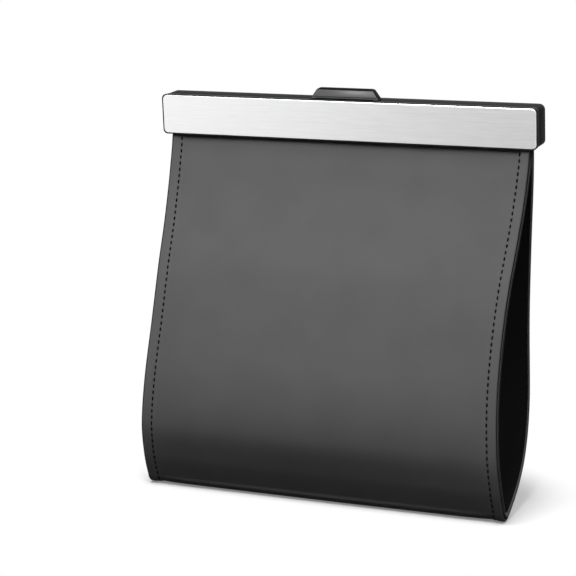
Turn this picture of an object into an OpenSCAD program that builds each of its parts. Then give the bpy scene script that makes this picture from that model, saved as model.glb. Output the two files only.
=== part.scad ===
// Hanging car trash bin: a soft bag of leather panels and cloth gussets whose mouth is held by two bars.
// The origin is the centre of the rear bar's back face, which hangs against the car: X right, Y to the rear, Z up.

/* [Bar] */
// Length of both bars
bar_w = 240; // [220:1:280]
// Height of both bars
bar_h = 24.3; // [22:0.1:30]
// Corner radius of the rear bar
rear_corner_r = 3.4; // [1:0.1:5]
// Corner radius of the front bar and the face plate
front_corner_r = 2.8; // [1:0.1:5]
// Depth of the rear bar
rear_bar_d = 11.2; // [10.5:0.1:14]
// Depth of the front bar
front_bar_d = 3.5; // [3.3:0.1:5]
// Wall of the front bar behind the plate
front_wall = 1.2; // [1:0.1:1.4]
// Top wall of both bars
top_wall = 1.5; // [1.2:0.1:2]
// Solid back of the rear bar, which holds the slots
back_d = 5.6; // [5.5:0.1:5.8]
// Gap between the closed bars
parting_gap = 0.3; // [0.2:0.05:0.5]
// Play between parts that are assembled flat on each other
fit = 0.05; // [0.03:0.01:0.08]
// Room beside the leather in the bars' pockets
pocket_room = 0.8; // [0.5:0.1:1.5]
// Drop of the stiff layers' upper edges below the bars
hang_gap = 0.5; // [0.4:0.1:1]

/* [Face plate] */
// Thickness of the aluminium plate
plate_t = 1; // [0.8:0.1:1.5]
// Thickness of the adhesive tape behind it
tape_t = 0.2; // [0.1:0.05:0.3]
// Distance of the tape's edge from the plate's edge
tape_inset = 2; // [1:0.5:4]

/* [Hanging slots] */
// Length of a slot in the back of the rear bar
slot_w = 62; // [40:1:64]
// Height of a slot
slot_h = 10; // [8:0.5:11]
// Depth of a slot
slot_d = 4.6; // [4.4:0.1:4.8]
// Distance of a slot's centre from the middle
slot_x = 60; // [50:1:70]

/* [Clamps and closure] */
// Height of the clamping parts' lower edge above the bars' lower edge
clamp_rise = 1.15; // [1:0.05:1.5]
// Thickness of the steel strip in the front bar
striker_t = 1.2; // [1:0.05:1.2]
// Length of a magnet
magnet_w = 30; // [20:1:40]
// Height of a magnet
magnet_h = 8; // [6:0.5:9]
// Thickness of a magnet
magnet_t = 3; // [2:0.1:3.2]
// Distance of the outer magnets' middle from the bag's side edges
magnet_end = 43; // [38:1:50]
// Height of the magnets above the bar's middle
magnet_z = 1; // [0:0.5:1.5]
// Shank radius of the rear screws
screw_r = 1.25; // [1:0.05:1.4]
// Length of the rear screws
screw_l = 8.6; // [8:0.1:9]
// Shank radius of the front rivets
rivet_r = 1; // [0.8:0.05:1.2]
// Distance of the inner screws and rivets from the middle
screw_x_in = 36; // [32:1:44]
// Distance of the outer screws and rivets from the bag's side edges
screw_end = 9; // [7:0.5:15]
// Height of the screws and rivets above the clamping parts' lower edge
screw_rise = 3.2; // [3:0.1:3.8]

/* [Pull tab] */
// Width of the tab at its foot
tab_w = 44; // [36:1:50]
// Height of the tab above the bars
tab_h = 6.7; // [5:0.1:9]
// Depth of the tab
tab_d = 5; // [4:0.1:6]
// Radius of the tab's upper corners
tab_corner_r = 3; // [2:0.1:4]
// Width that each end of the tab loses towards its top
tab_taper = 3; // [1:0.1:5]
// Lean of the tab's front face
tab_lean = 0.9; // [0:0.1:1.5]
// Width of the tab's tongue in the front bar
tab_tongue_w = 36; // [30:1:40]
// Length of the tab's tongue in the front bar, which leaves room for its rivets
tab_tongue_l = 8.6; // [7:0.1:9]

/* [Bag] */
// Distance of the bag's side edges from the ends of the bars
bag_inset = 5; // [4.5:0.5:15]
// How far each side edge draws in at half height
waist = 3.2; // [0:0.1:8]
// Drop from the bars to the bottom fold
bag_drop = 209; // [180:1:260]
// How far the front panel bulges ahead of the bar
belly = 62.8; // [50:0.2:80]
// Share of the bulge at which the bottom fold lies
fold_share = 0.79; // [0.7:0.01:0.85]
// Outer radius of the leather at the bottom fold
fold_r = 6.5; // [6:0.1:9]
// Angle of the front panel where it meets the fold
fold_front_a = 18; // [10:1:25]
// Angle of the rear panel where it meets the fold
fold_rear_a = 27; // [22:1:32]
// How far the mouth opens
open_a = 20; // [10:1:20]

/* [Panel layers] */
// Thickness of the leather
leather_t = 1; // [0.8:0.05:1.2]
// Thickness of the stiffening board
board_t = 1.3; // [1:0.1:1.5]
// Thickness of the lining
lining_t = 0.5; // [0.3:0.05:0.6]
// Thickness of the edge binding
binding_t = 0.6; // [0.4:0.05:0.7]
// Width of the edge binding on the panel
binding_w = 7.6; // [6:0.1:10]
// Room between the layers' side edges and the inside of the binding
layer_room = 0.1; // [0.05:0.05:0.2]
// Thickness of the gusset cloth
gusset_t = 0.5; // [0.4:0.05:0.6]
// Depth of the gusset's inward fold at the mouth
gusset_fold_top = 34; // [25:1:38]
// Depth of the gusset's inward fold at the bottom
gusset_fold_low = 9; // [7:1:14]
// Running gap between the two moving halves
run_gap = 0.3; // [0.25:0.05:0.4]

/* [Hidden] */
$fn = 48;
overcut = 1;
seam_gap = 0.02;
chord_sub = 4;
fold_step_a = 6;
end_lap_a = 2;
leather_colour = [0.24, 0.24, 0.25];
black = [0.05, 0.05, 0.055];
silver = [0.8, 0.8, 0.81];
steel = [0.62, 0.63, 0.65];

// Planes of the bars, from the back face forwards
back_y = -back_d;
rear_front_y = -rear_bar_d;
parting_y = rear_front_y - parting_gap;
front_wall_y = parting_y - front_bar_d + front_wall;
front_bar_y = parting_y - front_bar_d;
tape_y = front_bar_y - tape_t;
bar_low_z = -bar_h / 2;
bar_top_z = bar_h / 2;
clamp_top_z = bar_top_z - top_wall - fit;
clamp_low_z = bar_low_z + clamp_rise;
bag_w = bar_w - 2 * bag_inset;
magnet_x = bag_w / 2 - magnet_end;
pocket_half_w = bag_w / 2 + pocket_room;
tongue_top_z = clamp_top_z - 2 * hang_gap;
striker_y = parting_y - fit;
striker_front_y = striker_y - striker_t;
rear_clamp_back_y = back_y - 2 * fit - leather_t;
screw_x_out = bag_w / 2 - screw_end;
screw_xs = [-screw_x_out, -screw_x_in, screw_x_in, screw_x_out];
screw_z = clamp_low_z + screw_rise;
tab_rivet_x = tab_tongue_w / 3;
tab_rivet_z = clamp_top_z - tab_tongue_l / 2;
tab_front_y = striker_front_y;

// Bottom fold, which is also the line on which the front half turns
panel_t = leather_t + board_t + lining_t;
front_top_y = front_wall_y + fit;
rear_top_y = back_y - fit;
fold_y = front_top_y - fold_share * belly;
fold_z = bar_low_z - bag_drop + fold_r;
inner_fold_r = fold_r - leather_t - run_gap;
panel_top_z = bar_low_z - hang_gap;
layer_inset = binding_t + layer_room;

// Shape of the hanging panels: share of the drop, then share of the bulge
front_shape = [[0, 0], [0.09, 0.09], [0.23, 0.3], [0.37, 0.545], [0.515, 0.75],
    [0.66, 0.92], [0.8, 1], [0.9, 0.965]];
rear_shape = [[0, 0], [0.2, 0.01], [0.4, 0.005], [0.6, 0.04], [0.7, 0.085], [0.76, 0.14],
    [0.82, 0.225], [0.88, 0.35], [0.925, 0.495], [0.96, 0.65]];

// Direction from the fold's centre to where each panel leaves it, as [y, z]
front_out = [-cos(fold_front_a), -sin(fold_front_a)];
rear_out = [sin(fold_rear_a), -cos(fold_rear_a)];

// Knots of each panel's outer face as [z, y], ending on the fold
function knots(shape, top_y, out, r) = concat(
    [for (s = shape) [bar_low_z - s[0] * bag_drop, top_y - s[1] * belly]],
    [[fold_z + r * out[1], fold_y + r * out[0]]]);
front_knots = knots(front_shape, front_top_y, front_out, fold_r);
rear_knots = knots(rear_shape, rear_top_y, rear_out, inner_fold_r);
front_end_slope = -tan(fold_front_a);
rear_end_slope = 1 / tan(fold_rear_a);
// Height just above the point where the rear panel meets its fold
rear_end_z = rear_knots[len(rear_knots) - 1][0] + seam_gap;

// Slope dy/dz at each knot
function knot_slope(k, i, end_slope) =
    i == 0 ? 0 :
    i == len(k) - 1 ? end_slope :
    (k[i + 1][1] - k[i - 1][1]) / (k[i + 1][0] - k[i - 1][0]);

// Point of a smooth curve between two knots, as [y, z, outward y, outward z], with side -1 in front and 1 behind
function curve_point(k, i, u, end_slope, side) =
    let (h = k[i + 1][0] - k[i][0],
         m0 = knot_slope(k, i, end_slope) * h,
         m1 = knot_slope(k, i + 1, end_slope) * h,
         y0 = k[i][1],
         y1 = k[i + 1][1],
         y = (2 * u * u * u - 3 * u * u + 1) * y0 + (u * u * u - 2 * u * u + u) * m0
             + (3 * u * u - 2 * u * u * u) * y1 + (u * u * u - u * u) * m1,
         dy = ((6 * u * u - 6 * u) * (y0 - y1) + (3 * u * u - 4 * u + 1) * m0
             + (3 * u * u - 2 * u) * m1) / h,
         s = sqrt(1 + dy * dy))
    [y, k[i][0] + u * h, side / s, -side * dy / s];

// Whole hanging curve of a panel, from the bars to the fold
function hanging(k, end_slope, side) = concat(
    [for (i = [0 : len(k) - 2]) for (j = [0 : chord_sub - 1]) curve_point(k, i, j / chord_sub, end_slope, side)],
    [curve_point(k, len(k) - 2, 1, end_slope, side)]);
front_curve = hanging(front_knots, front_end_slope, -1);
rear_curve = hanging(rear_knots, rear_end_slope, 1);

// Part of a curve between two heights
function between(curve, high, low) = [for (p = curve) if (p[1] <= high && p[1] >= low) p];

// The first point of a curve, moved down to where the stiff layers begin
function started(curve) = concat([[curve[0][0], panel_top_z, curve[0][2], curve[0][3]]],
    between(curve, panel_top_z - hang_gap, fold_z - bag_drop));

// Arc about the fold's centre, as points of the same form
function fold_arc(r, from_a, to_a) =
    let (n = max(1, ceil(abs(to_a - from_a) / fold_step_a)))
    [for (i = [0 : n]) let (a = from_a + (to_a - from_a) * i / n)
        [fold_y + r * cos(a), fold_z + r * sin(a), cos(a), sin(a)]];
front_leave_a = 180 + fold_front_a;
rear_leave_a = 270 + fold_rear_a;

// Half width of the bag at a height
function half_w(z) =
    let (t = min(1, max(0, (bar_low_z - z) / bag_drop)))
    bag_w / 2 - waist * pow(sin(180 * t), 2);

// Point of a layer: x, a curve point and a depth below the panel's outer face
function at_depth(x, p, d) = [x, p[0] - p[2] * d, p[1] - p[3] * d];

// Solid skin over rings of equal length, closed at both ends; facing is above 0 where the rings turn outwards.
// Each ring goes along one side of a band and back along the other, so its ends close across the band.
module skin(rings, facing) {
    n = len(rings[0]);
    last = (len(rings) - 1) * n;
    sides = [for (i = [0 : len(rings) - 2]) for (j = [0 : n - 1])
        let (a = i * n + j, b = i * n + (j + 1) % n)
        each j < n / 2 ? [[a, b, b + n], [a, b + n, a + n]] : [[a, b, a + n], [b, b + n, a + n]]];
    ends = [for (i = [0 : n / 2 - 2])
        let (a = i, b = i + 1, c = n - 2 - i, d = n - 1 - i)
        each [[c, b, a], [d, c, a], [last + a, last + b, last + c], [last + a, last + c, last + d]]];
    polyhedron(
        points = [for (r = rings) for (j = [0 : n - 1]) r[facing > 0 ? j : n - 1 - j]],
        faces = concat(sides, ends),
        convexity = 6);
}

// One flat layer of a panel between two depths
module layer(path, d0, d1, inset) {
    skin([for (p = path) let (w = half_w(p[1]) - inset)
        [at_depth(-w, p, d0), at_depth(-w, p, d1), at_depth(w, p, d1), at_depth(w, p, d0)]], path[0][2]);
}

// Folded strip that wraps the right edge of a panel
module binding(path) {
    t = binding_t;
    skin([for (p = path) let (w = half_w(p[1]))
        [at_depth(w - binding_w, p, -seam_gap), at_depth(w - t, p, -seam_gap),
         at_depth(w - t, p, panel_t + seam_gap), at_depth(w - binding_w, p, panel_t + seam_gap),
         at_depth(w - binding_w, p, panel_t + t), at_depth(w, p, panel_t + t),
         at_depth(w, p, -t), at_depth(w - binding_w, p, -t)]], path[0][2]);
}

// Block with rounded corners, standing between two planes of Y
module bar_block(w, h, r, front, rear) {
    translate([0, rear, 0])
        rotate([90, 0, 0])
            linear_extrude(rear - front) {
                square([w - 2 * r, h], center = true);
                square([w, h - 2 * r], center = true);
                for (sx = [-1, 1]) for (sz = [-1, 1])
                    translate([sx * (w / 2 - r), sz * (h / 2 - r)])
                        circle(r);
            }
}

// Box between two corners
module span(low, high) {
    translate(low)
        cube(high - low);
}

// Countersunk fastener or its hole, with its head at the plane y and its shank towards along
module fastener(x, y, z, r, l, along, play) {
    head_h = r * 0.8;
    translate([x, y, z])
        rotate([-90 * along, 0, 0]) {
            cylinder(h = head_h + play, r1 = r * 1.8 + play, r2 = r + play);
            cylinder(h = l + play, r = r + play);
        }
}

module rear_fasteners(play) {
    for (x = screw_xs)
        fastener(x, rear_front_y, screw_z, screw_r, screw_l, 1, play);
}

module front_fasteners(play) {
    l = striker_y - front_bar_y - fit;
    for (x = screw_xs)
        fastener(x, striker_y, screw_z, rivet_r, l, -1, play);
    for (x = [-tab_rivet_x, tab_rivet_x])
        fastener(x, striker_y, tab_rivet_z, rivet_r, l, -1, play);
}

// Space of one magnet, which reaches ahead of the clamp's front face by lead
module magnet_space(x, play, lead) {
    span([x - magnet_w / 2 - play, rear_front_y - lead, magnet_z - magnet_h / 2 - play],
         [x + magnet_w / 2 + play, rear_front_y + magnet_t + play, magnet_z + magnet_h / 2 + play]);
}

module rear_bar() {
    color(black)
        difference() {
            bar_block(bar_w, bar_h, rear_corner_r, rear_front_y, 0);
            span([-pocket_half_w, rear_front_y - overcut, bar_low_z - overcut],
                 [pocket_half_w, back_y, bar_top_z - top_wall]);
            for (sx = [-1, 1])
                span([sx * slot_x - slot_w / 2, -slot_d, -slot_h / 2],
                     [sx * slot_x + slot_w / 2, overcut, slot_h / 2]);
            rear_fasteners(fit);
        }
}

module rear_clamp() {
    color(black)
        difference() {
            span([-bag_w / 2, rear_front_y, clamp_low_z], [bag_w / 2, rear_clamp_back_y, clamp_top_z]);
            for (x = [-magnet_x, 0, magnet_x])
                magnet_space(x, fit, overcut);
            rear_fasteners(fit);
        }
}

module rear_screws() {
    color(steel)
        rear_fasteners(0);
}

module magnet_left() {
    color(silver)
        magnet_space(-magnet_x, 0, 0);
}

module magnet_centre() {
    color(silver)
        magnet_space(0, 0, 0);
}

module magnet_right() {
    color(silver)
        magnet_space(magnet_x, 0, 0);
}

module front_bar() {
    color(black)
        difference() {
            bar_block(bar_w, bar_h, front_corner_r, front_bar_y, parting_y);
            span([-pocket_half_w, front_wall_y, bar_low_z - overcut],
                 [pocket_half_w, parting_y + overcut, bar_top_z - top_wall]);
            span([-tab_tongue_w / 2 - fit, tab_front_y - fit, 0],
                 [tab_tongue_w / 2 + fit, parting_y + overcut, bar_top_z + overcut]);
            front_fasteners(fit);
        }
}

module face_plate() {
    color(silver)
        bar_block(bar_w, bar_h, front_corner_r, tape_y - plate_t, tape_y);
}

module plate_tape() {
    color("white")
        bar_block(bar_w - 2 * tape_inset, bar_h - 2 * tape_inset, front_corner_r / 2, tape_y, front_bar_y);
}

module striker_strip() {
    color(steel)
        difference() {
            span([-bag_w / 2, striker_front_y, clamp_low_z], [bag_w / 2, striker_y, clamp_top_z]);
            span([-tab_tongue_w / 2 - fit, striker_front_y - overcut, clamp_top_z - tab_tongue_l - fit],
                 [tab_tongue_w / 2 + fit, parting_y + overcut, clamp_top_z + overcut]);
            front_fasteners(fit);
        }
}

module front_rivets() {
    color(silver)
        front_fasteners(0);
}

// Outline of the tab seen from the front, with rounded upper corners
module tab_outline() {
    foot = tab_w / 2;
    r = tab_corner_r;
    corner_x = foot - tab_taper - r;
    low = bar_top_z + parting_gap;
    high = bar_top_z + tab_h;
    lean_a = atan((foot - corner_x - r) / (high - r - low));
    polygon(concat(
        [[-foot, low], [foot, low]],
        [for (a = [lean_a : (90 - lean_a) / 8 : 90.01]) [corner_x + r * cos(a), high - r + r * sin(a)]],
        [for (a = [90 : (90 - lean_a) / 8 : 180.01 - lean_a]) [-corner_x + r * cos(a), high - r + r * sin(a)]]));
}

// Section of the tab across the bars, with a soft upper edge
module tab_section() {
    low = bar_top_z + parting_gap;
    high = bar_top_z + tab_h;
    front = tab_front_y;
    rear = tab_front_y + tab_d;
    r = tab_d / 5;
    polygon(concat(
        [[rear, low], [rear, high - r]],
        [for (a = [0 : 15 : 90]) [rear - r + r * cos(a), high - r + r * sin(a)]],
        [for (a = [90 : 15 : 180]) [front + tab_lean + r + r * cos(a), high - r + r * sin(a)]],
        [[front, low]]));
}

module pull_tab() {
    color(black)
        difference() {
            union() {
                intersection() {
                    rotate([90, 0, 0])
                        translate([0, 0, -tab_front_y - tab_d - overcut])
                            linear_extrude(tab_d + 2 * overcut)
                                tab_outline();
                    rotate([90, 0, 90])
                        translate([0, 0, -tab_w / 2 - overcut])
                            linear_extrude(tab_w + 2 * overcut)
                                tab_section();
                }
                span([-tab_tongue_w / 2, tab_front_y, clamp_top_z - tab_tongue_l],
                     [tab_tongue_w / 2, striker_y, bar_top_z + 2 * parting_gap]);
            }
            front_fasteners(fit);
        }
}

// Leather of the front panel, from its tongue in the bar round the bottom fold
module front_leather() {
    path = concat(
        [[front_top_y, tongue_top_z, -1, 0], [front_top_y, bar_low_z + hang_gap, -1, 0]],
        between(front_curve, bar_low_z, fold_z),
        fold_arc(fold_r, front_leave_a, rear_leave_a - open_a - end_lap_a));
    color(leather_colour)
        difference() {
            layer(path, 0, leather_t, layer_inset);
            front_fasteners(fit);
        }
}

// Leather of the rear panel, whose end turns inside the front panel's fold
module rear_leather() {
    path = concat(
        [[rear_top_y, tongue_top_z, 1, 0], [rear_top_y, bar_low_z + hang_gap, 1, 0]],
        between(rear_curve, bar_low_z, rear_end_z),
        fold_arc(inner_fold_r, rear_leave_a, front_leave_a + end_lap_a));
    color(leather_colour)
        difference() {
            layer(path, 0, leather_t, layer_inset);
            rear_fasteners(fit);
        }
}

// Lowest heights of the stiff layers, which stop short of the fold
front_stiff_z = fold_z + fold_r;
rear_stiff_z = fold_z + fold_r / 2;
front_stiff = between(started(front_curve), panel_top_z, front_stiff_z);
rear_stiff = between(started(rear_curve), panel_top_z, rear_stiff_z);

module front_board() {
    color(black)
        layer(front_stiff, leather_t, leather_t + board_t, layer_inset);
}

module front_lining() {
    color(black)
        layer(front_stiff, leather_t + board_t, panel_t, layer_inset);
}

module rear_board() {
    color(black)
        layer(rear_stiff, leather_t, leather_t + board_t, layer_inset);
}

module rear_lining() {
    color(black)
        layer(rear_stiff, leather_t + board_t, panel_t, layer_inset);
}

// Right binding of the front panel, which covers the bottom of the fold
module front_binding() {
    binding(concat(
        between(started(front_curve), panel_top_z, fold_z),
        fold_arc(fold_r, front_leave_a, 270)));
}

// Right binding of the rear panel, which starts where the panel leaves the fold
module rear_binding() {
    binding(between(started(rear_curve), panel_top_z, rear_end_z));
}

module front_binding_left() {
    color(leather_colour)
        mirror([1, 0, 0])
            front_binding();
}

module front_binding_right() {
    color(leather_colour)
        front_binding();
}

module rear_binding_left() {
    color(leather_colour)
        mirror([1, 0, 0])
            rear_binding();
}

module rear_binding_right() {
    color(leather_colour)
        rear_binding();
}

// Height of a curve's inner side: its y at a height z, behind the binding's inner leg
function inner_y(curve, z, gap) =
    let (i = max([for (j = [0 : len(curve) - 2]) if (curve[j][1] >= z) j]),
         u = (curve[i][1] - z) / (curve[i][1] - curve[i + 1][1]),
         y = curve[i][0] + u * (curve[i + 1][0] - curve[i][0]),
         n = curve[i][2] + u * (curve[i + 1][2] - curve[i][2]))
    y - (panel_t + binding_t + gap) / n;

// Cloth gusset on the right side, folded inwards in a V between the two panels
gusset_top_z = panel_top_z - hang_gap;
gusset_low_z = fold_z + fold_r - 2 * hang_gap;
gusset_rings = 28;
module gusset() {
    skin([for (i = [0 : gusset_rings])
        let (u = i / gusset_rings,
             z = gusset_top_z + u * (gusset_low_z - gusset_top_z),
             yf = inner_y(front_curve, z, run_gap),
             yr = inner_y(rear_curve, z, fit),
             ym = (yf + yr) / 2,
             half = (yr - yf) / 2,
             deep = gusset_fold_top + u * (gusset_fold_low - gusset_fold_top),
             edge = half_w(z) - binding_t,
             leg = sqrt(half * half + deep * deep),
             ty = gusset_t * leg / deep,
             tx = gusset_t * leg / half)
        [[edge, yf, z], [edge - deep, ym, z], [edge, yr, z],
         [edge, yr - ty, z], [edge - deep + tx, ym, z], [edge, yf + ty, z]]], -1);
}

module gusset_left() {
    color([0.08, 0.08, 0.085])
        mirror([1, 0, 0])
            gusset();
}

module gusset_right() {
    color([0.08, 0.08, 0.085])
        gusset();
}

rear_bar();
rear_clamp();
rear_screws();
magnet_left();
magnet_centre();
magnet_right();
rear_leather();
rear_board();
rear_lining();
rear_binding_left();
rear_binding_right();
gusset_left();
gusset_right();
front_bar();
face_plate();
plate_tape();
pull_tab();
striker_strip();
front_rivets();
front_leather();
front_board();
front_lining();
front_binding_left();
front_binding_right();
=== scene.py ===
import math

import bmesh
import bpy
import numpy as np
from mathutils import Matrix, Vector, noise


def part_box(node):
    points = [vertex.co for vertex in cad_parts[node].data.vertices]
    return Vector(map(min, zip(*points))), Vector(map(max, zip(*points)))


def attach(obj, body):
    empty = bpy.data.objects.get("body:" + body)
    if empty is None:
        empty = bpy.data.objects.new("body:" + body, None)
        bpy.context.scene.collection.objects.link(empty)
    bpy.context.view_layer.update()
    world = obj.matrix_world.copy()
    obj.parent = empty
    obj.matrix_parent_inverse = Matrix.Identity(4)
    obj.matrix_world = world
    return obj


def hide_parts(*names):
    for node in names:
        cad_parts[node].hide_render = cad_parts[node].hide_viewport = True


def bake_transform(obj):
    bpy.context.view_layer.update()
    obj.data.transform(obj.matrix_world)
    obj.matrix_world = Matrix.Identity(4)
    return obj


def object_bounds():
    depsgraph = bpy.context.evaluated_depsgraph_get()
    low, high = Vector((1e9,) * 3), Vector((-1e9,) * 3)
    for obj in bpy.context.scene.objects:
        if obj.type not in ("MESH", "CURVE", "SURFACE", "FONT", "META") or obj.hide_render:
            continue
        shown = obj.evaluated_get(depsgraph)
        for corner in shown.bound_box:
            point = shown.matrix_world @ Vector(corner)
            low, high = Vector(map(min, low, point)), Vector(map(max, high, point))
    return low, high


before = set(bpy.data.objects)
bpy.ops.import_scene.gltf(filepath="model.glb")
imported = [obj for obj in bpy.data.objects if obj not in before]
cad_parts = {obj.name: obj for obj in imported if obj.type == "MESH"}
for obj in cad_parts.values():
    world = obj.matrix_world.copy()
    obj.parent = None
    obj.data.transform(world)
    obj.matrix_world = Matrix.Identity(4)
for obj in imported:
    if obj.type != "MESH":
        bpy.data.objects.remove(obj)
cad_low, cad_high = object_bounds()

# The camera stands 1.3 m off, a little above the bin and round to its right.
# Its angles and distance were fitted to the edges of the bar and the bag in the photograph.
view_azimuth = math.radians(24.447)
view_elevation = math.radians(14.584)
view_roll = math.radians(-2.162)
view_distance = 1.3001
aim_right = 0.03258
aim_up = 0.09893
plate_middle = Vector((0, -0.0162, 0))
lens_mm = 136.86
sensor_mm = 36

back = Vector((math.sin(view_azimuth) * math.cos(view_elevation),
               -math.cos(view_azimuth) * math.cos(view_elevation),
               math.sin(view_elevation)))
level = Vector((math.cos(view_azimuth), math.sin(view_azimuth), 0))
upright = back.cross(level)
right = math.cos(view_roll) * level + math.sin(view_roll) * upright
up = math.cos(view_roll) * upright - math.sin(view_roll) * level
stand = plate_middle + view_distance * back - aim_right * right - aim_up * up
lens = bpy.data.cameras.new("camera")
lens.lens = lens_mm
lens.sensor_width = sensor_mm
lens.clip_end = 20
camera = bpy.data.objects.new("camera", lens)
camera.matrix_world = Matrix((
    (right.x, up.x, back.x, stand.x),
    (right.y, up.y, back.y, stand.y),
    (right.z, up.z, back.z, stand.z),
    (0, 0, 0, 1)))
bpy.context.scene.collection.objects.link(camera)
bpy.context.scene.camera = camera
bpy.context.scene.view_settings.view_transform = "Standard"

# The bin stands on a white studio table, under a wide lamp, with a smaller one in front at the right and one
# behind. A lit card at the left shows only in reflections. Camera, glossy and transmission rays see the
# table white, with the bin's shadow close round its fold.
table_z = cad_low.z - 0.0002
table_half = 6
table_colour = 0.73
table_glow = 0.2
table_bounce = 0.03
lit_round = 0.125
plain_beyond = 0.175
fold_y = -0.063
shade_squash = 1.5
room_white = 1.0
room_fill = 0.025
lamp_aim = Vector((0, -0.03, -0.1))
lamps = {
    "top_lamp": ((-0.1, -0.5, 1.26), (0.7, 0.6), 23.5),
    "front_lamp": ((0.85, -1.05, 1.2), (0.6, 0.5), 9.0),
    "rear_lamp": ((0.3, 1.2, 0.9), (1.0, 0.6), 9.0),
    "left_card": ((-0.78, -1.1, 0.15), (0.7, 0.7), 5.2),
}


def white_to_the_eye(links, nodes, dim, white, out_socket):
    """Shows white to camera, glossy and transmission rays, and dim to the rest."""
    path = nodes.new("ShaderNodeLightPath")
    straight_or_through = nodes.new("ShaderNodeMath")
    straight_or_through.operation = "MAXIMUM"
    any_of_three = nodes.new("ShaderNodeMath")
    any_of_three.operation = "MAXIMUM"
    mix = nodes.new("ShaderNodeMixShader")
    links.new(path.outputs["Is Camera Ray"], straight_or_through.inputs[0])
    links.new(path.outputs["Is Transmission Ray"], straight_or_through.inputs[1])
    links.new(straight_or_through.outputs[0], any_of_three.inputs[0])
    links.new(path.outputs["Is Glossy Ray"], any_of_three.inputs[1])
    links.new(any_of_three.outputs[0], mix.inputs[0])
    links.new(dim, mix.inputs[1])
    links.new(white, mix.inputs[2])
    links.new(mix.outputs[0], out_socket)


table_mesh = bpy.data.meshes.new("table")
bm = bmesh.new()
bmesh.ops.create_grid(bm, x_segments=1, y_segments=1, size=table_half)
bmesh.ops.translate(bm, verts=bm.verts, vec=(0, 0, table_z))
bm.to_mesh(table_mesh)
bm.free()
table = bpy.data.objects.new("table", table_mesh)
bpy.context.scene.collection.objects.link(table)
table_paint = bpy.data.materials.new("table_paint")
table_paint.use_nodes = True
tree = table_paint.node_tree
tree.nodes.remove(tree.nodes["Principled BSDF"])
dull = tree.nodes.new("ShaderNodeBsdfDiffuse")
dull.inputs["Color"].default_value = (table_bounce, table_bounce, table_bounce, 1)
bright = tree.nodes.new("ShaderNodeBsdfDiffuse")
bright.inputs["Color"].default_value = (table_colour, table_colour, table_colour, 1)
glow = tree.nodes.new("ShaderNodeEmission")
glow.inputs["Strength"].default_value = table_glow
near = tree.nodes.new("ShaderNodeAddShader")
far = tree.nodes.new("ShaderNodeEmission")
place = tree.nodes.new("ShaderNodeTexCoord")
from_fold = tree.nodes.new("ShaderNodeMapping")
from_fold.inputs["Scale"].default_value = (1, shade_squash, 0)
from_fold.inputs["Location"].default_value = (0, -shade_squash * fold_y, 0)
reach = tree.nodes.new("ShaderNodeVectorMath")
reach.operation = "LENGTH"
fade = tree.nodes.new("ShaderNodeMapRange")
fade.interpolation_type = "SMOOTHSTEP"
fade.inputs["From Min"].default_value = lit_round
fade.inputs["From Max"].default_value = plain_beyond
whole = tree.nodes.new("ShaderNodeMixShader")
tree.links.new(bright.outputs[0], near.inputs[0])
tree.links.new(glow.outputs[0], near.inputs[1])
tree.links.new(place.outputs["Object"], from_fold.inputs["Vector"])
tree.links.new(from_fold.outputs["Vector"], reach.inputs[0])
tree.links.new(reach.outputs["Value"], fade.inputs["Value"])
tree.links.new(fade.outputs["Result"], whole.inputs[0])
tree.links.new(near.outputs[0], whole.inputs[1])
tree.links.new(far.outputs[0], whole.inputs[2])
white_to_the_eye(tree.links, tree.nodes, dull.outputs[0], whole.outputs[0],
                 tree.nodes["Material Output"].inputs["Surface"])
table_mesh.materials.append(table_paint)

world = bpy.data.worlds.new("studio")
bpy.context.scene.world = world
world.use_nodes = True
tree = world.node_tree
tree.nodes.remove(tree.nodes["Background"])
fill = tree.nodes.new("ShaderNodeBackground")
fill.inputs["Color"].default_value = (1, 1, 1, 1)
fill.inputs["Strength"].default_value = room_fill
seen = tree.nodes.new("ShaderNodeBackground")
seen.inputs["Color"].default_value = (1, 1, 1, 1)
seen.inputs["Strength"].default_value = room_white
white_to_the_eye(tree.links, tree.nodes, fill.outputs[0], seen.outputs[0],
                 tree.nodes["World Output"].inputs["Surface"])
for lamp_name, (spot, size, watts) in lamps.items():
    light = bpy.data.lights.new(lamp_name, "AREA")
    light.shape = "RECTANGLE"
    light.size, light.size_y = size
    light.energy = watts
    lamp = bpy.data.objects.new(lamp_name, light)
    aim = lamp_aim - Vector(spot)
    lamp.matrix_world = Matrix.Translation(spot) @ aim.to_track_quat("-Z", "Y").to_matrix().to_4x4()
    lamp.visible_diffuse = lamp_name != "left_card"
    lamp.visible_camera = False
    bpy.context.scene.collection.objects.link(lamp)

# The rear bar is the fixed half of the mouth: one moulding in black ABS with a fine spark-eroded texture.
# Two long sockets in its back let it hang. Its pocket takes the rear panel's top edge and the clamp.
mm = 0.001
abs_black = (0.007, 0.007, 0.0072)
abs_rough = 0.55
abs_pit_size = 0.35 * mm
abs_pit_depth = 0.03 * mm
handling_size = 14 * mm
bar_edge_round = 0.3 * mm


def finish_named(name, colour, rough, metal=0.0, specular=0.5):
    """A new material and its shader, with the even values on the shader's own sockets."""
    material = bpy.data.materials.new(name)
    material.use_nodes = True
    shader = material.node_tree.nodes["Principled BSDF"]
    shader.inputs["Base Color"].default_value = (*colour, 1)
    shader.inputs["Roughness"].default_value = rough
    shader.inputs["Metallic"].default_value = metal
    shader.inputs["Specular IOR Level"].default_value = specular
    return material, material.node_tree.nodes, material.node_tree.links, shader


def object_places(nodes, links, scale=(1, 1, 1)):
    """The surface's own place in metres, scaled along each axis for a pattern."""
    coordinates = nodes.new("ShaderNodeTexCoord")
    mapping = nodes.new("ShaderNodeMapping")
    mapping.inputs["Scale"].default_value = scale
    links.new(coordinates.outputs["Object"], mapping.inputs["Vector"])
    return mapping.outputs["Vector"]


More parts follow.
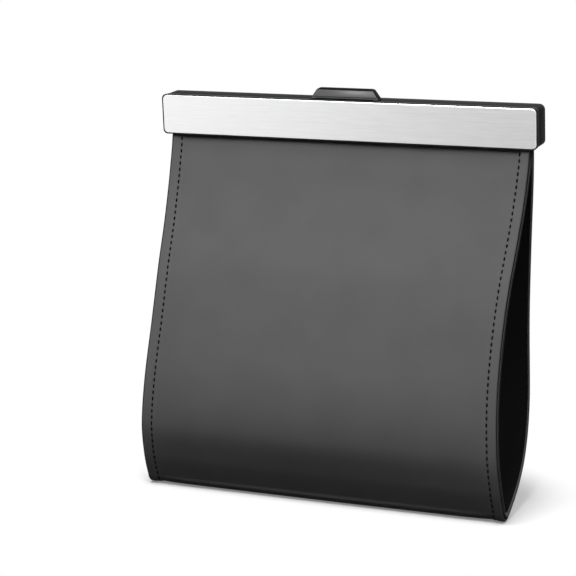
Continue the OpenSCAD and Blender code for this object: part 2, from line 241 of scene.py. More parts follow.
def speckle(nodes, links, vector, size, detail=2.0):
    """Noise with features of about that size, in metres."""
    grain = nodes.new("ShaderNodeTexNoise")
    grain.inputs["Scale"].default_value = 1 / size
    grain.inputs["Detail"].default_value = detail
    links.new(vector, grain.inputs["Vector"])
    return grain.outputs["Fac"]


def between_values(nodes, links, factor, low, high):
    """Turns a 0 to 1 pattern into a value from low to high."""
    spread = nodes.new("ShaderNodeMapRange")
    spread.inputs["To Min"].default_value = low
    spread.inputs["To Max"].default_value = high
    links.new(factor, spread.inputs["Value"])
    return spread.outputs["Result"]


def relief(nodes, links, shader, height, depth, strength):
    """Bump of that depth in metres on the shader."""
    bump = nodes.new("ShaderNodeBump")
    bump.inputs["Distance"].default_value = depth
    bump.inputs["Strength"].default_value = strength
    links.new(height, bump.inputs["Height"])
    links.new(bump.outputs["Normal"], shader.inputs["Normal"])


def shade(nodes, links, shader, factor, dark, light):
    """Colour that wanders between two greys or tints."""
    ramp = nodes.new("ShaderNodeValToRGB")
    ramp.color_ramp.elements[0].position = 0.3
    ramp.color_ramp.elements[0].color = (*dark, 1)
    ramp.color_ramp.elements[1].position = 0.7
    ramp.color_ramp.elements[1].color = (*light, 1)
    links.new(factor, ramp.inputs["Fac"])
    links.new(ramp.outputs["Color"], shader.inputs["Base Color"])


def textured_abs(name, tint):
    """Moulded ABS: fine pits all over, and sheen that wanders a little from handling."""
    material, nodes, links, shader = finish_named(name, tint, abs_rough, 0.0, 0.02)
    place = object_places(nodes, links)
    pits = speckle(nodes, links, place, abs_pit_size)
    handling = speckle(nodes, links, place, handling_size)
    shade(nodes, links, shader, handling, [0.75 * c for c in tint], [1.25 * c for c in tint])
    links.new(between_values(nodes, links, handling, abs_rough - 0.06, abs_rough + 0.08),
              shader.inputs["Roughness"])
    relief(nodes, links, shader, pits, abs_pit_depth, 0.6)
    return material


def merged_copy(node_name):
    """The CAD node's shape as clean flat faces, to be given its finished edges."""
    shape = bmesh.new()
    shape.from_mesh(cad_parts[node_name].data)
    bmesh.ops.remove_doubles(shape, verts=shape.verts, dist=0.002 * mm)
    bmesh.ops.dissolve_limit(shape, angle_limit=math.radians(1), verts=shape.verts, edges=shape.edges)
    return shape


def sharp_edges(shape):
    """The edges where two faces meet at more than 35 degrees."""
    return [e for e in shape.edges if len(e.link_faces) == 2 and e.calc_face_angle(0) > math.radians(35)]


def round_edges(shape, edges, width):
    """Gives the edges the small radius that the mould leaves."""
    bmesh.ops.bevel(shape, geom=edges, offset=width, offset_type="OFFSET", affect="EDGES",
                    segments=3, profile=0.5, material=-1, clamp_overlap=True)


def piece_of(name, shape, material, smooth_below=35):
    """Makes the shape an object, with edges under that angle shaded smooth."""
    for e in shape.edges:
        e.smooth = len(e.link_faces) == 2 and e.calc_face_angle(0) < math.radians(smooth_below)
    for f in shape.faces:
        f.smooth = True
    bmesh.ops.triangulate(shape, faces=[f for f in shape.faces if len(f.verts) > 4])
    mesh = bpy.data.meshes.new(name)
    shape.to_mesh(mesh)
    shape.free()
    mesh.materials.append(material)
    made = bpy.data.objects.new(name, mesh)
    bpy.context.scene.collection.objects.link(made)
    return made


black_abs = textured_abs("black_abs", abs_black)
shape = merged_copy("rear_bar")
round_edges(shape, sharp_edges(shape), bar_edge_round)
rear_bar = piece_of("rear_bar_moulding", shape, black_abs)
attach(rear_bar, "hanger")
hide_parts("rear_bar")

# Inside the rear bar a clamp bar of the same ABS holds the rear panel's top edge, with four steel screws.
# Three nickel-plated bar magnets sit in the clamp's front face and pull the mouth shut.
def plated_metal(name, tint, rough, fleck_size):
    """Metal with a dull plated or worked skin, whose crystals show as soft flecks."""
    material, nodes, links, shader = finish_named(name, tint, rough, 1.0)
    place = object_places(nodes, links)
    flecks = speckle(nodes, links, place, fleck_size, 4)
    shade(nodes, links, shader, flecks, [0.8 * c for c in tint], tint)
    links.new(between_values(nodes, links, flecks, rough - 0.08, rough + 0.12), shader.inputs["Roughness"])
    relief(nodes, links, shader, flecks, 0.02 * mm, 0.4)
    return material


def dress(node_names, material):
    """Gives CAD nodes that stay on show their finished material."""
    for node_name in node_names:
        for material_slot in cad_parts[node_name].material_slots:
            material_slot.material = material


dress(["rear_clamp"], black_abs)
dress(["rear_screws"], plated_metal("screw_plating", (0.5, 0.5, 0.5), 0.3, 0.8 * mm))
dress(["magnet_left", "magnet_centre", "magnet_right"],
      plated_metal("nickel_plating", (0.62, 0.6, 0.56), 0.3, 9 * mm))

# The front bar is the swinging half of the mouth: a shallow moulding in the same black ABS, given a lighter
# tint than the rear bar, which paints the light on it.
# It closes face to face on the rear bar. A thin lip runs round its face, and the metal plate lies inside it.
# A lighter tint of the same black ABS: painted light on the front bar
front_bar_lit_black = (0.03, 0.03, 0.0305)
lip_wide = 0.4 * mm
lip_out = 0.15 * mm
lip_sunk = 0.12 * mm
lip_floor = 0.1 * mm
lip_root = 0.4 * mm
hair = 0.01 * mm
plate_face_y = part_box("face_plate")[0].y
bar_face_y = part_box("front_bar")[0].y


def grown(shape, amount):
    """Moves every side of a block that is centred on X and Z outwards."""
    for v in shape.verts:
        v.co.x += amount * math.copysign(1, v.co.x)
        v.co.z += amount * math.copysign(1, v.co.z)


lip = merged_copy("face_plate")
grown(lip, lip_out)
lip_face_y = plate_face_y + lip_sunk
for v in lip.verts:
    v.co.y = lip_face_y if v.co.y < plate_face_y + hair else bar_face_y + lip_root
lip_face = [f for f in lip.faces if all(v.co.y < lip_face_y + hair for v in f.verts)]
bmesh.ops.inset_region(lip, faces=lip_face, thickness=lip_wide, use_even_offset=True)
bmesh.ops.translate(lip, verts=lip_face[0].verts, vec=(0, bar_face_y + lip_floor - lip_face_y, 0))
lip_mesh = bpy.data.meshes.new("plate_lip")
lip.to_mesh(lip_mesh)
lip.free()
shape = merged_copy("front_bar")
round_edges(shape, sharp_edges(shape), bar_edge_round)
shape.from_mesh(lip_mesh)
bpy.data.meshes.remove(lip_mesh)
front_bar = piece_of("front_bar_moulding", shape, textured_abs("front_bar_lit_abs", front_bar_lit_black))
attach(front_bar, "jaw")
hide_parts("front_bar")

# The face plate is 1 mm aluminium, brushed along its length, with a bright chamfer cut round its face.
# A pale adhesive film holds it on the front bar.
brushed_tint = (0.45, 0.45, 0.454)
brushed_rough = 0.4
brushed_stretch = 0.7
chamfer_tint = (0.86, 0.86, 0.865)
brush_length = 38 * mm
brush_width = 0.16 * mm
broad_width = 1.1 * mm
fine_share = 0.65
plate_chamfer = 0.42 * mm
plate_play = 0.05 * mm


def brushed_aluminium():
    """Long fine strokes over broader ones, with a highlight that is stretched across them."""
    material, nodes, links, shader = finish_named("brushed_plate", brushed_tint, brushed_rough, 1.0)
    strokes = object_places(nodes, links, (brush_width / brush_length, 1, 1))
    lines = speckle(nodes, links, strokes, brush_width, 3)
    broad = speckle(nodes, links, object_places(nodes, links, (0.1, 1, 1)), broad_width, 3)
    mixed = nodes.new("ShaderNodeMath")
    mixed.operation = "MULTIPLY_ADD"
    mixed.inputs[1].default_value = fine_share
    links.new(lines, mixed.inputs[0])
    softer = nodes.new("ShaderNodeMath")
    softer.operation = "MULTIPLY"
    softer.inputs[1].default_value = 1 - fine_share
    links.new(broad, softer.inputs[0])
    links.new(softer.outputs[0], mixed.inputs[2])
    shade(nodes, links, shader, mixed.outputs[0],
          [0.9 * c for c in brushed_tint], [1.08 * c for c in brushed_tint])
    links.new(between_values(nodes, links, mixed.outputs[0], brushed_rough - 0.1, brushed_rough + 0.12),
              shader.inputs["Roughness"])
    relief(nodes, links, shader, mixed.outputs[0], 0.012 * mm, 0.35)
    shader.inputs["Anisotropic"].default_value = brushed_stretch
    upright_way = nodes.new("ShaderNodeVectorTransform")
    upright_way.vector_type = "VECTOR"
    upright_way.convert_from = "OBJECT"
    upright_way.convert_to = "WORLD"
    upright_way.inputs["Vector"].default_value = (0, 0, 1)
    links.new(upright_way.outputs["Vector"], shader.inputs["Tangent"])
    return material


def bright_chamfer():
    """The bare cut metal of the chamfer, with faint scratches along it."""
    material, nodes, links, shader = finish_named("bright_chamfer", chamfer_tint, 0.34, 1.0)
    scratches = speckle(nodes, links, object_places(nodes, links, (0.05, 1, 1)), 0.4 * mm)
    links.new(between_values(nodes, links, scratches, 0.3, 0.38), shader.inputs["Roughness"])
    return material


shape = merged_copy("face_plate")
grown(shape, lip_out - lip_wide - plate_play)
rim = [e for e in shape.edges
       if all(v.co.y < plate_face_y + hair for v in e.verts) and len(e.link_faces) == 2]
chamfered = bmesh.ops.bevel(shape, geom=rim, offset=plate_chamfer, offset_type="OFFSET", affect="EDGES",
                            segments=1, profile=0.5, material=-1, clamp_overlap=True)
for face in chamfered["faces"]:
    face.material_index = 1
face_plate = piece_of("brushed_plate", shape, brushed_aluminium(), 25)
face_plate.data.materials.append(bright_chamfer())
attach(face_plate, "jaw")
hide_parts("face_plate")


def pebbled(name, colour, rough, specular, size, depth, strength):
    """An even colour with a noisy relief: its size and depth are in metres."""
    material, nodes, links, shader = finish_named(name, colour, rough, 0.0, specular)
    relief(nodes, links, shader, speckle(nodes, links, object_places(nodes, links), size), depth, strength)
    return material


dress(["plate_tape"], pebbled("adhesive_film", (0.75, 0.75, 0.72), 0.25, 0.5, 3 * mm, 0.05 * mm, 0.5))

# The pull tab stands on the front bar: a thumb grip in black ABS with slanted ends and rounded corners.
# A dark grey pad with one groove stands on its face. Its tongue is trapped between the bar and the
# steel strip.
tab_edge_round = 0.7 * mm
pad_margin = 0.2 * mm
pad_slope = 0.45 * mm
pad_high = 0.25 * mm
groove_low = 1.5 * mm
groove_wide = 0.4 * mm
groove_deep = 0.3 * mm
groove_taper = 0.05 * mm
bar_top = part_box("front_bar")[1].z
grip_low = bar_top + 0.1 * mm
pad_low = bar_top + 1 * mm
pad_facing = -0.95
shape = merged_copy("pull_tab")
round_edges(shape, [e for e in sharp_edges(shape) if all(v.co.z > grip_low for v in e.verts)], tab_edge_round)
pad = [f for f in shape.faces if f.normal.y < pad_facing and f.calc_center_median().z > pad_low]
bmesh.ops.inset_region(shape, faces=pad, thickness=pad_margin, use_even_offset=True)
raised = bmesh.ops.inset_region(shape, faces=pad, thickness=pad_slope, depth=pad_high, use_even_offset=True)
for face in pad + raised["faces"]:
    face.material_index = 1
groove_z = bar_top + groove_low
for cut_z in (groove_z, groove_z + groove_wide):
    bmesh.ops.bisect_plane(shape, geom=shape.verts[:] + shape.edges[:] + shape.faces[:],
                           plane_co=(0, 0, cut_z), plane_no=(0, 0, 1), dist=0.0001 * mm)
pad_front = [f for f in shape.faces if f.material_index == 1 and f.normal.y < pad_facing]
groove = [f for f in pad_front if 0 < f.calc_center_median().z - groove_z < groove_wide]
bmesh.ops.inset_region(shape, faces=groove, thickness=groove_taper, depth=-groove_deep, use_even_offset=True)
for face in groove:
    face.material_index = 0
pull_tab = piece_of("thumb_tab", shape, black_abs)
pull_tab.data.materials.append(
    pebbled("pad_grey", (0.08, 0.08, 0.081), 0.4, 0.3, abs_pit_size, abs_pit_depth, 0.6))
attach(pull_tab, "jaw")
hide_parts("pull_tab")

# Behind the front bar a flat steel strip meets the magnets and clamps the front panel's top edge.
# Small aluminium rivets fix it through the panel to the bar.
dress(["striker_strip"], plated_metal("strip_plating", (0.55, 0.55, 0.56), 0.33, 3 * mm))
dress(["front_rivets"], plated_metal("rivet_aluminium", (0.8, 0.8, 0.8), 0.28, 1 * mm))

# The outer skin is one sheet of dark grey split leather. It hangs from the front bar, turns under the bag
# in one soft fold and rises to the rear bar. Its side edges are turned over the board and topstitched.
bar_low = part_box("front_bar")[0].z
tongue_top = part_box("front_leather")[1].z
front_top_y = -13.75 * mm
rear_top_y = -5.65 * mm
bag_half = 115 * mm
waist = 3.2 * mm
drop = 209 * mm
belly = 62.8 * mm
fold_radius = 6.5 * mm
front_leave = math.radians(198)
rear_leave = math.radians(297)
# Each panel's side line, as shares of the drop and of the belly
front_shape = [(0, 0), (0.09, 0.09), (0.23, 0.3), (0.37, 0.545), (0.515, 0.75), (0.66, 0.92), (0.8, 1),
               (0.9, 0.965)]
rear_shape = [(0, 0), (0.2, 0.01), (0.4, 0.005), (0.6, 0.04), (0.7, 0.085), (0.76, 0.14), (0.82, 0.225),
              (0.88, 0.35), (0.925, 0.495), (0.96, 0.65)]
fold_middle = Vector((0, -0.063362, -0.21465))
stitch_pitch = 3.85 * mm
stitch_inset = {-1: 6.8 * mm, 1: 5.8 * mm}
row_step = stitch_pitch / 4
knot_steps = 24


def panel_line(shape, top_y, leave):
    """Points (y, z) down one panel's outer face, from the bar to where it meets the fold.

    Its shape is given in shares of the drop and the belly, and a smooth curve is drawn through them.
    """
    knots = [(bar_low - f * drop, top_y - g * belly) for f, g in shape]
    fold_start_z = fold_middle.z + fold_radius * math.sin(leave)
    knots.append((fold_start_z, fold_middle.y + fold_radius * math.cos(leave)))
    slopes = [0.0]
    for before, after in zip(knots, knots[2:]):
        slopes.append((after[1] - before[1]) / (after[0] - before[0]))
    slopes.append(-math.tan(leave))
    points = []
    for (z0, y0), (z1, y1), s0, s1 in zip(knots, knots[1:], slopes, slopes[1:]):
        span = z1 - z0
        for i in range(knot_steps):
            u = i / knot_steps
            points.append((
                y0 * (2 * u**3 - 3 * u**2 + 1) + y1 * (3 * u**2 - 2 * u**3)
                + span * (s0 * (u**3 - 2 * u**2 + u) + s1 * (u**3 - u**2)),
                z0 + span * u))
    return points


fold_line = [(fold_middle.y + fold_radius * math.cos(a), fold_middle.z + fold_radius * math.sin(a))
             for a in np.linspace(front_leave, rear_leave, 40)]
pocket_middle = 0.5 * (tongue_top + bar_low)
wrap = np.array([(front_top_y, tongue_top), (front_top_y, pocket_middle)]
                + panel_line(front_shape, front_top_y, front_leave)
                + fold_line
                + panel_line(rear_shape, rear_top_y, rear_leave)[::-1]
                + [(rear_top_y, pocket_middle), (rear_top_y, tongue_top)])
run = np.concatenate(([0], np.cumsum(np.hypot(*np.diff(wrap, axis=0).T))))
even = np.linspace(0, run[-1], int(run[-1] / (0.5 * mm)))
line_y = np.interp(even, run, wrap[:, 0])
line_z = np.interp(even, run, wrap[:, 1])
lean_y = np.gradient(line_z, even)
lean_z = -np.gradient(line_y, even)
lean = np.hypot(lean_y, lean_z)
lean_y, lean_z = lean_y / lean, lean_z / lean
low_run = even[np.argmin(np.hypot(line_y - fold_line[0][0], line_z - fold_line[0][1]))]
high_run = even[np.argmin(np.hypot(line_y - fold_line[-1][0], line_z - fold_line[-1][1]))]


def share_down(z):
    """0 at the bars and 1 where the drop ends."""
    return min(1, max(0, (bar_low - z) / drop))


def half_width(z):
    """Half the bag's width at a height: it draws in a little at its middle."""
    return bag_half - waist * math.sin(math.pi * share_down(z)) ** 2


def on_panel(side, edge, depth, along):
    """A point so far in from a side edge, so deep under the outer face, so far along from the front's top."""
    y = np.interp(along, even, line_y)
    z = np.interp(along, even, line_z)
    ny = np.interp(along, even, lean_y)
    nz = np.interp(along, even, lean_z)
    return Vector((side * (half_width(z) - edge), y - ny * depth, z - nz * depth))


def turn_share(along):
    """0 where the panel follows the jaw, 1 where it follows the hanger, turning round the fold."""
    t = min(1, max(0, (along - low_run) / (high_run - low_run)))
    return t * t * (3 - 2 * t)


def grid_of(columns, rows):
    """A flat grid, each point's column and row, and a layer for how far each point turns with the hanger."""
    sheet = bmesh.new()
    turn = sheet.verts.layers.float.new("turn")
    bmesh.ops.create_grid(sheet, x_segments=columns, y_segments=rows, size=0.5)
    places = {v: (round((v.co.x + 0.5) * columns), round((v.co.y + 0.5) * rows)) for v in sheet.verts}
    return sheet, turn, places


def band(section, first, last, step, dye_and_shade_pairs=()):
    """A closed band: its section (side, edge, depth) is carried along the panel from one run to another.

    Between the given pairs of columns it takes the second material: black edge dye, which also paints the
    shade on the edges and in the grooves.
    """
    rows = int((last - first) / step)
    shape, turn, places = grid_of(len(section), rows)
    for face in shape.faces:
        columns = [places[v][0] for v in face.verts]
        if any(low <= min(columns) and max(columns) <= high for low, high in dye_and_shade_pairs):
            face.material_index = 1
    for v, (column, row) in places.items():
        side, edge, depth = section[column % len(section)]
        along = first + (last - first) * row / rows
        v.co = on_panel(side, edge, depth(along) if callable(depth) else depth, along)
        v[turn] = turn_share(along)
    bmesh.ops.remove_doubles(shape, verts=shape.verts, dist=0.001 * mm)
    bmesh.ops.holes_fill(shape, edges=[e for e in shape.edges if e.is_boundary], sides=0)
    bmesh.ops.recalc_face_normals(shape, faces=shape.faces)
    return shape


def turns_with_the_fold(made):
    """Bakes the piece's place into its mesh and reads each point's turn share, which nothing then uses."""
    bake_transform(made)
    shares = np.zeros(len(made.data.vertices), np.float32)
    made.data.attributes["turn"].data.foreach_get("value", shares)


puff_high = 0.9 * mm
puff_start = 1.5 * mm
puff_reach = 20 * mm
dip_deep = 0.16 * mm


def puff(along):
    """How far the front leather bulges where it comes out of the bar's pocket."""
    below = bar_low - np.interp(along, even, line_z)
    if along > low_run or below < 0:
        return 0
    return puff_high * (1 - math.exp(-below / puff_start)) * math.exp(-(below / puff_reach) ** 2)


def puffed(depth):
    """A depth that follows the bulge."""
    return lambda along: depth - puff(along)


def stitch_dip(depth):
    """The thread pulls the leather down at each stitch and lets it rise between stitches."""
    def at(along):
        rise = 0.5 + 0.5 * math.cos(2 * math.pi * along / stitch_pitch)
        return depth - puff(along) - dip_deep * rise
    return at


# Points of the section: distances in from the side edge and depths under the outer face, in millimetres
edge_roll = [(0.62, 0.9), (0.3, 0.87), (0.08, 0.75), (0, 0.5), (0, 0.1), (0.12, -0.25), (0.45, -0.5),
             (0.95, -0.62), (1.8, -0.66), (3.2, -0.64), (4.0, -0.58), (4.6, -0.48)]
stitch_valley = [(-0.7, -0.22), (-0.3, -0.02), (0, 0.04), (0.3, 0.02), (0.8, -0.1)]
inner_swell = [(8.2, 0.0), (9.3, -0.05), (11, -0.4), (14, -0.95), (19, -1.4), (28, -1.8), (46, -2.15),
               (64, -2.45), (84, -2.65), (104, -2.7)]
# Columns of the section from each edge that take the black edge dye, which also paints shade: more on the
# left, where the edge falls in shade
dye_and_shade_columns = {-1: 7, 1: 5}
leather_thick = 1 * mm
turned_in = 0.62 * mm
# Shares of the inner swell: on the rear panel, at the front's middle and in its bulge low down
rear_swell = 0.25
middle_swell = 0.45
bulge_swell = 0.75
bulge_down = 0.75
bulge_reach = 0.15


def swelling(depth):
    """The panel's middle stands proud of its edges, most of all where the front bulges."""
    def at(along):
        if along > low_run:
            return rear_swell * depth
        t = share_down(np.interp(along, even, line_z))
        middle = middle_swell * math.sin(math.pi * t) ** 2
        bulge = bulge_swell * math.exp(-((t - bulge_down) / bulge_reach) ** 2)
        return depth * (middle + bulge) - puff(along)
    return at


def half_section(side):
    """The leather's outer face from the turned-in lip to near the middle of the panel."""
    points = [(side, e * mm, puffed(d * mm) if d < 0 else d * mm) for e, d in edge_roll]
    points += [(side, stitch_inset[side] + e * mm, stitch_dip(d * mm)) for e, d in stitch_valley]
    points += [(side, e * mm, swelling(d * mm)) for e, d in inner_swell]
    return points


leather_section = (
    half_section(-1) + half_section(1)[::-1]
    + [(1, turned_in, leather_thick)]
    + [(1, e * mm, leather_thick) for e in (0.68, 8, 30, 60, 90)]
    + [(-1, e * mm, leather_thick) for e in (90, 60, 30, 8, 0.68)]
    + [(-1, turned_in, leather_thick)])
grain_size = 0.55 * mm
# The hide's slow unevenness: waves per metre and their height. It is calm at the bar and at the seams.
hide_waves = ((14, 0.35 * mm), (42, 0.1 * mm))
calm_below_bar = 2 * mm
calm_edge = 8 * mm
calm_fade = 20 * mm


def bag_leather():
    """Split leather with a fine pebbled grain, dull and almost even in colour."""
    material, nodes, links, shader = finish_named("bag_leather", (0.12, 0.12, 0.121), 0.6, 0.0, 0.03)
    place = object_places(nodes, links)
    cells = nodes.new("ShaderNodeTexVoronoi")
    cells.feature = "SMOOTH_F1"
    cells.inputs["Scale"].default_value = 1 / grain_size
    links.new(place, cells.inputs["Vector"])
    creases = speckle(nodes, links, place, 0.25 * mm, 3)
    clouds = speckle(nodes, links, place, 26 * mm, 3)
    height = nodes.new("ShaderNodeMath")
    height.operation = "MULTIPLY_ADD"
    height.inputs[1].default_value = 0.4
    links.new(creases, height.inputs[0])
    links.new(cells.outputs["Distance"], height.inputs[2])
    shade(nodes, links, shader, clouds, (0.115, 0.115, 0.116), (0.126, 0.126, 0.127))
    links.new(between_values(nodes, links, clouds, 0.56, 0.66), shader.inputs["Roughness"])
    relief(nodes, links, shader, height.outputs[0], 0.05 * mm, 0.45)
    return material


leather = bag_leather()
# Black edge dye that is also painted shade: it darkens the edges and grooves, further round the left edge
# than the right
edge_dye_and_shade = pebbled("edge_dye_and_painted_shade", (0.006, 0.006, 0.006), 0.6, 0.1, 0.4 * mm, 0.04 * mm, 0.5)
last_column = 2 * len(half_section(1)) - 1
shape = band(leather_section, 0, even[-1], row_step,
             dye_and_shade_pairs=[(0, dye_and_shade_columns[-1]), (last_column - dye_and_shade_columns[1], last_column + 1)])
for v in shape.verts:
    spot = v.co.copy()
    inward = min(1, max(0, (half_width(spot.z) - abs(spot.x) - calm_edge) / calm_fade))
    if bar_low - spot.z > calm_below_bar:
        v.co.y += inward * sum(noise.noise(spot * often) * high for often, high in hide_waves)
bag_skin = piece_of("leather_wrap", shape, leather, 60)
bag_skin.data.materials.append(edge_dye_and_shade)
turns_with_the_fold(bag_skin)
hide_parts("front_leather", "rear_leather")

# A strip of the same leather is folded on the inside of each side edge and sewn through with the skin.
# It shows as a second thin layer along the edge and covers the ends of the lining and the gussets.

# Points of the section as above, and the pairs of columns between which it is dyed black: its raw side and
# the face towards the groove, where the dye also paints their shade
strip_face = [(7.8, 2.82), (7.8, 3.2), (7.5, 3.38)]
strip_valley = [(0.3, 3.28), (0, 3.22), (-0.3, 3.28)]
strip_edge = [(4.8, 3.41), (3.2, 3.42), (1.3, 3.42), (0.4, 3.42), (-0.3, 3.36), (-0.5, 3.15), (-0.6, 2.8),
              (-0.55, 2.4), (-0.3, 2.12), (0.2, 2.08), (0.64, 2.2), (0.7, 2.82)]
strip_dye_and_shade = [(12, 14), (15, 17)]


def edge_strip(side, end):
    """One side's strip, from bar to bar through the fold, with its raw edges dyed black; the dye also paints
    their shade and the groove's.
    """
    section = [(side, e * mm, d * mm) for e, d in strip_face]
    section += [(side, stitch_inset[side] + e * mm, d * mm) for e, d in strip_valley]
    section += [(side, e * mm, d * mm) for e, d in strip_edge]
    shape = band(section, 0, even[-1], 2 * row_step, dye_and_shade_pairs=strip_dye_and_shade)
    made = piece_of("edge_strip_" + end, shape, leather, 60)
    made.data.materials.append(edge_dye_and_shade)
    turns_with_the_fold(made)
    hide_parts("front_binding_" + end, "rear_binding_" + end)


edge_strip(-1, "left")
edge_strip(1, "right")

# Stiff board, coloured black so that its edge in the side groove shows as painted shade, keeps both panels
# flat. It lies between the leather and the lining, and can't be seen elsewhere. It was cut to shape and glued
# in.
board, nodes, links, shader = finish_named("pressed_board", (0.02, 0.02, 0.02), 0.85)
fibres = speckle(nodes, links, object_places(nodes, links), 1.2 * mm, 4)
shade(nodes, links, shader, fibres, (0.014, 0.014, 0.014), (0.026, 0.026, 0.026))
relief(nodes, links, shader, fibres, 0.05 * mm, 0.4)
dress(["front_board", "rear_board"], board)

# The lining is one piece of black plain-woven nylon. It runs down the front panel, through the fold and up
# the rear panel, glued to the board and caught under the edge strips.
yarn_pitch = 0.42 * mm


def woven_nylon(name, tint):
    """Plain weave: two sets of yarns across each other. A wave of scale 1 repeats every tenth of pi."""
    material, nodes, links, shader = finish_named(name, tint, 0.6, 0.0, 0.03)
    coordinates = nodes.new("ShaderNodeUVMap")
    coordinates.uv_map = "cloth"
    waves = []
    for axis in ("X", "Y"):
        yarn = nodes.new("ShaderNodeTexWave")
        yarn.wave_type = "BANDS"
        yarn.bands_direction = axis
        yarn.inputs["Scale"].default_value = math.pi / 10 / (2 * yarn_pitch)
        yarn.inputs["Distortion"].default_value = 0.4
        yarn.inputs["Detail"].default_value = 1
        links.new(coordinates.outputs["UV"], yarn.inputs["Vector"])
        waves.append(yarn.outputs["Fac"])
    crossing = nodes.new("ShaderNodeMath")
    crossing.operation = "MULTIPLY"
    links.new(waves[0], crossing.inputs[0])
    links.new(waves[1], crossing.inputs[1])
    shade(nodes, links, shader, crossing.outputs[0], [0.7 * c for c in tint], [1.5 * c for c in tint])
    relief(nodes, links, shader, crossing.outputs[0], 0.08 * mm, 0.7)
    return material


def cloth_map(made, u_of, v_of):
    """Lays the weave on the cloth by two measures in metres."""
    layer = made.data.uv_layers.new(name="cloth")
    for loop in made.data.loops:
        co = made.data.vertices[loop.vertex_index].co
        layer.data[loop.index].uv = (u_of(co), v_of(co))


nylon = woven_nylon("lining_nylon", (0.006, 0.006, 0.0063))
lining_inset = 0.8 * mm
lining_out = 2.32 * mm
lining_in = 2.8 * mm
lining_edges = [0.0, 4, 8, 20, 40, 60, 80, 100]
lining_section = (
    [(-1, lining_inset + e * mm, lining_out) for e in lining_edges]
    + [(1, lining_inset + e * mm, lining_out) for e in lining_edges[::-1]]
    + [(1, lining_inset + e * mm, lining_in) for e in lining_edges]
    + [(-1, lining_inset + e * mm, lining_in) for e in lining_edges[::-1]])
shape = band(lining_section, 0, even[-1], 2 * row_step)
lining = piece_of("nylon_lining", shape, nylon, 60)
cloth_map(lining, lambda co: co.x, lambda co: co.z)
turns_with_the_fold(lining)
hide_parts("front_lining", "rear_lining")

# Thick black bonded thread runs down both sides in one row of topstitching, through skin and edge strip.
# Each stitch lies in its own dimple. The rows show outside on both panels and again on the edge strips.
thread_long = 2.6 * mm
thread_wide = 1.25 * mm
thread_high = 0.7 * mm
outer_seat = -0.12 * mm
inner_seat = 3.3 * mm
thread = pebbled("bonded_thread", (0.004, 0.004, 0.004), 0.8, 0.06, 0.12 * mm, 0.05 * mm, 0.8)


def stitch_row(shape, turn, side, seat):
    """One row from bar to bar, each stitch midway between two holes and at the depth of its seat."""
    first = math.ceil((tongue_top - bar_low) / stitch_pitch)
    for i in range(first, int(even[-1] / stitch_pitch) - first + 1):
        along = (i + 0.5) * stitch_pitch
        spot = on_panel(side, stitch_inset[side], seat(along), along)
        ahead = on_panel(side, stitch_inset[side], seat(along), along + 1 * mm)
        outside = on_panel(side, stitch_inset[side], seat(along) - 1 * mm, along)
        down = (ahead - spot).normalized()
        out = (outside - spot).normalized()
        across = down.cross(out)
        seat_frame = Matrix((
            (down.x, across.x, out.x, spot.x),
            (down.y, across.y, out.y, spot.y),
            (down.z, across.z, out.z, spot.z),
            (0, 0, 0, 1)))
        size = Matrix.Diagonal((thread_long / 2, thread_wide / 2, thread_high / 2, 1))
        new = bmesh.ops.create_uvsphere(shape, u_segments=8, v_segments=6, radius=1,
                                        matrix=seat_frame @ size)["verts"]
        for v in new:
            v[turn] = turn_share(along)


def stitching(side, end):
    """Both rows of one side: on the skin, and on the edge strip inside."""
    shape = bmesh.new()
    turn = shape.verts.layers.float.new("turn")
    stitch_row(shape, turn, side, puffed(outer_seat))
    stitch_row(shape, turn, side, lambda along: inner_seat)
    bmesh.ops.recalc_face_normals(shape, faces=shape.faces)
    made = piece_of("stitching_" + end, shape, thread, 80)
    turns_with_the_fold(made)


stitching(-1, "left")
stitching(1, "right")

# Each side is closed by a gusset of black woven nylon, folded inward in one long pleat so the mouth can open.
# Its two edges are caught inside the panels' edges, and it narrows towards the fold at the bottom.
gusset_thick = 0.5 * mm
gusset_deep_top = 34 * mm
gusset_deep_low = 9 * mm
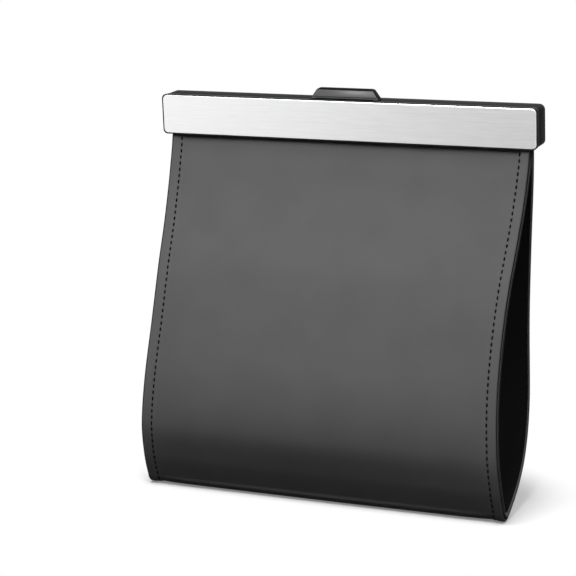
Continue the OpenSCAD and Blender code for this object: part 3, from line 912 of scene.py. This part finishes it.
# Half the gap between the panels at the mouth and low down, and what the cloth lies in from their edges
edge_gap = 0.25 * mm
gusset_columns = 28
gusset_rows = 120
ripple_high = 1.1 * mm
ripple_fade = 20 * mm
gusset_black = (0.0055, 0.0055, 0.0057)
gusset_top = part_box("gusset_right")[1].z
gusset_low = fold_middle.z - 2.4 * mm
gusset_seat = 3.45 * mm
crease_round = 0.16
middle_run = 0.5 * (low_run + high_run)
inner_y = line_y - lean_y * gusset_seat
inner_z = line_z - lean_z * gusset_seat
on_front = even < middle_run
front_z = inner_z[on_front][::-1]
front_y = inner_y[on_front][::-1]
rear_z = inner_z[~on_front]
rear_y = inner_y[~on_front]


def rounded_pleat(across):
    """0 at both edges and 1 at the pleat's crease, which is a small curve."""
    open_edge = math.hypot(1, crease_round) - crease_round
    return 1 - (math.hypot(2 * across - 1, crease_round) - crease_round) / open_edge


def gusset(side, end):
    """One side's cloth, whose front edge follows the jaw and whose rear edge follows the hanger."""
    shape, turn, places = grid_of(gusset_columns, gusset_rows)
    for v, (column, row) in places.items():
        across = column / gusset_columns
        down = row / gusset_rows
        z = gusset_top + (gusset_low - gusset_top) * down
        yf = np.interp(z, front_z, front_y)
        yr = np.interp(z, rear_z, rear_y)
        deep = gusset_deep_top + (gusset_deep_low - gusset_deep_top) * down
        ripple = ripple_high * noise.noise(Vector((across * 3, z * 22, side * 2.0)))
        ripple *= math.sin(math.pi * across) ** 2 * min(1, (yr - yf) / ripple_fade)
        x = half_width(z) - edge_gap - deep * rounded_pleat(across) + ripple
        v.co = Vector((side * x, yf + (yr - yf) * across, z))
        v[turn] = across * across * (3 - 2 * across)
    bmesh.ops.recalc_face_normals(shape, faces=shape.faces)
    bmesh.ops.solidify(shape, geom=shape.faces, thickness=gusset_thick)
    bmesh.ops.recalc_face_normals(shape, faces=shape.faces)
    made = piece_of("side_gusset_" + end, shape, woven_nylon("gusset_nylon_" + end, gusset_black), 60)
    cloth_map(made, lambda co: co.y, lambda co: co.z)
    turns_with_the_fold(made)
    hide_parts("gusset_" + end)


gusset(-1, "left")
gusset(1, "right")
